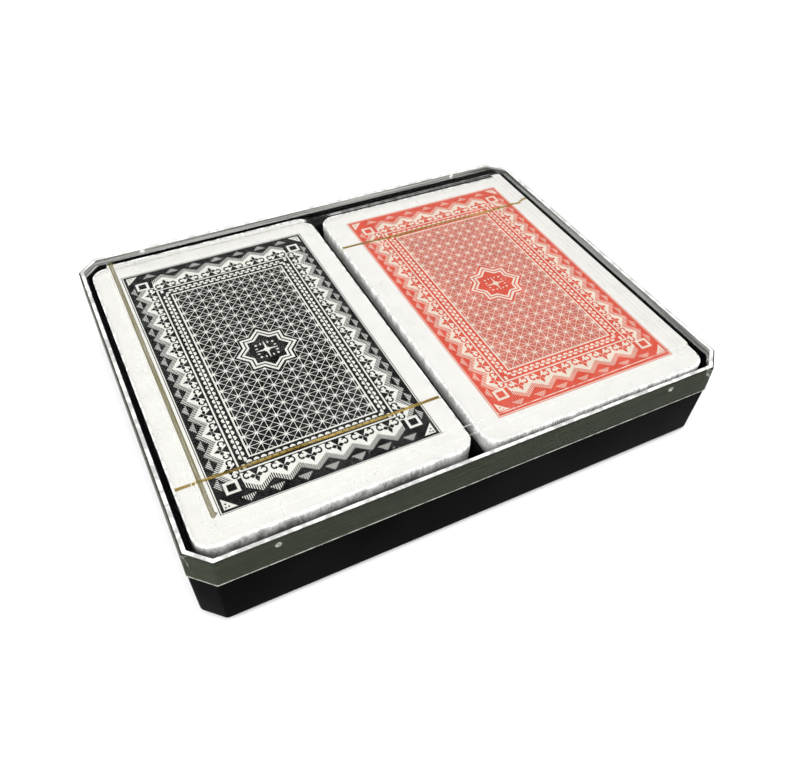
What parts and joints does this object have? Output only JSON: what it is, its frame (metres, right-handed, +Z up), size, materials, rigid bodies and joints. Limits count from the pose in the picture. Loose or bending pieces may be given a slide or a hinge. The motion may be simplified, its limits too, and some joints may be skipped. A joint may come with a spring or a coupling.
{
  "type": "playing card box",
  "caption": "Black moulded tray with a clear lift-off lid, holding sealed packs of playing cards side by side in their own bays.",
  "frame": {"origin": "centre of the box's footprint, on the surface that its foot stands on", "axes": "+X along the box's long side towards the red pack, +Y towards the far long side, +Z up, the way the lid lifts off"},
  "size_m": [0.1224, 0.096, 0.024],
  "materials": {
    "tray_plastic": "glossy black polystyrene",
    "lid_plastic": "clear crystal polystyrene, slightly warm",
    "wrap_film": "clear glossy film",
    "tear_strip": "see-through gold film",
    "card_paper": "white coated card",
    "black_back": "white coated card printed black",
    "red_back": "white coated card printed orange-red"
  },
  "bodies": {
    "tray": {"tray": "tray_plastic"},
    "lid": {"lid": "lid_plastic"},
    "left_pack": {"left_wrap": "wrap_film", "left_tear_strip": "tear_strip", "left_card_01": "black_back", "left_card_02": "card_paper", "left_card_03": "card_paper", "left_card_04": "card_paper", "left_card_05": "card_paper", "left_card_06": "card_paper", "left_card_07": "card_paper", "left_card_08": "card_paper", "left_card_09": "card_paper", "left_card_10": "card_paper", "left_card_11": "card_paper", "left_card_12": "card_paper", "left_card_13": "card_paper", "left_card_14": "card_paper", "left_card_15": "card_paper", "left_card_16": "card_paper", "left_card_17": "card_paper", "left_card_18": "card_paper", "left_card_19": "card_paper", "left_card_20": "card_paper", "left_card_21": "card_paper", "left_card_22": "card_paper", "left_card_23": "card_paper", "left_card_24": "card_paper", "left_card_25": "card_paper", "left_card_26": "card_paper", "left_lower_cards": "card_paper"},
    "right_pack": {"right_wrap": "wrap_film", "right_tear_strip": "tear_strip", "right_card_01": "red_back", "right_card_02": "card_paper", "right_card_03": "card_paper", "right_card_04": "card_paper", "right_card_05": "card_paper", "right_card_06": "card_paper", "right_card_07": "card_paper", "right_card_08": "card_paper", "right_card_09": "card_paper", "right_card_10": "card_paper", "right_card_11": "card_paper", "right_card_12": "card_paper", "right_card_13": "card_paper", "right_card_14": "card_paper", "right_card_15": "card_paper", "right_card_16": "card_paper", "right_card_17": "card_paper", "right_card_18": "card_paper", "right_card_19": "card_paper", "right_card_20": "card_paper", "right_card_21": "card_paper", "right_card_22": "card_paper", "right_card_23": "card_paper", "right_card_24": "card_paper", "right_card_25": "card_paper", "right_card_26": "card_paper", "right_lower_cards": "card_paper"}
  },
  "joints": [
    {"name": "lid_lift", "type": "slide", "parent": "tray", "child": "lid", "axis": [0, 0, 1], "range_m": [0, 0.09]},
    {"name": "left_pack_lift", "type": "slide", "parent": "tray", "child": "left_pack", "axis": [0, 0, 1], "range_m": [0, 0.045]},
    {"name": "right_pack_lift", "type": "slide", "parent": "tray", "child": "right_pack", "axis": [0, 0, 1], "range_m": [0, 0.045]}
  ],
  "couplings": [
    {"joint": "left_pack_lift", "follows": "lid_lift", "ratio": 0.5},
    {"joint": "right_pack_lift", "follows": "lid_lift", "ratio": 0.5}
  ]
}
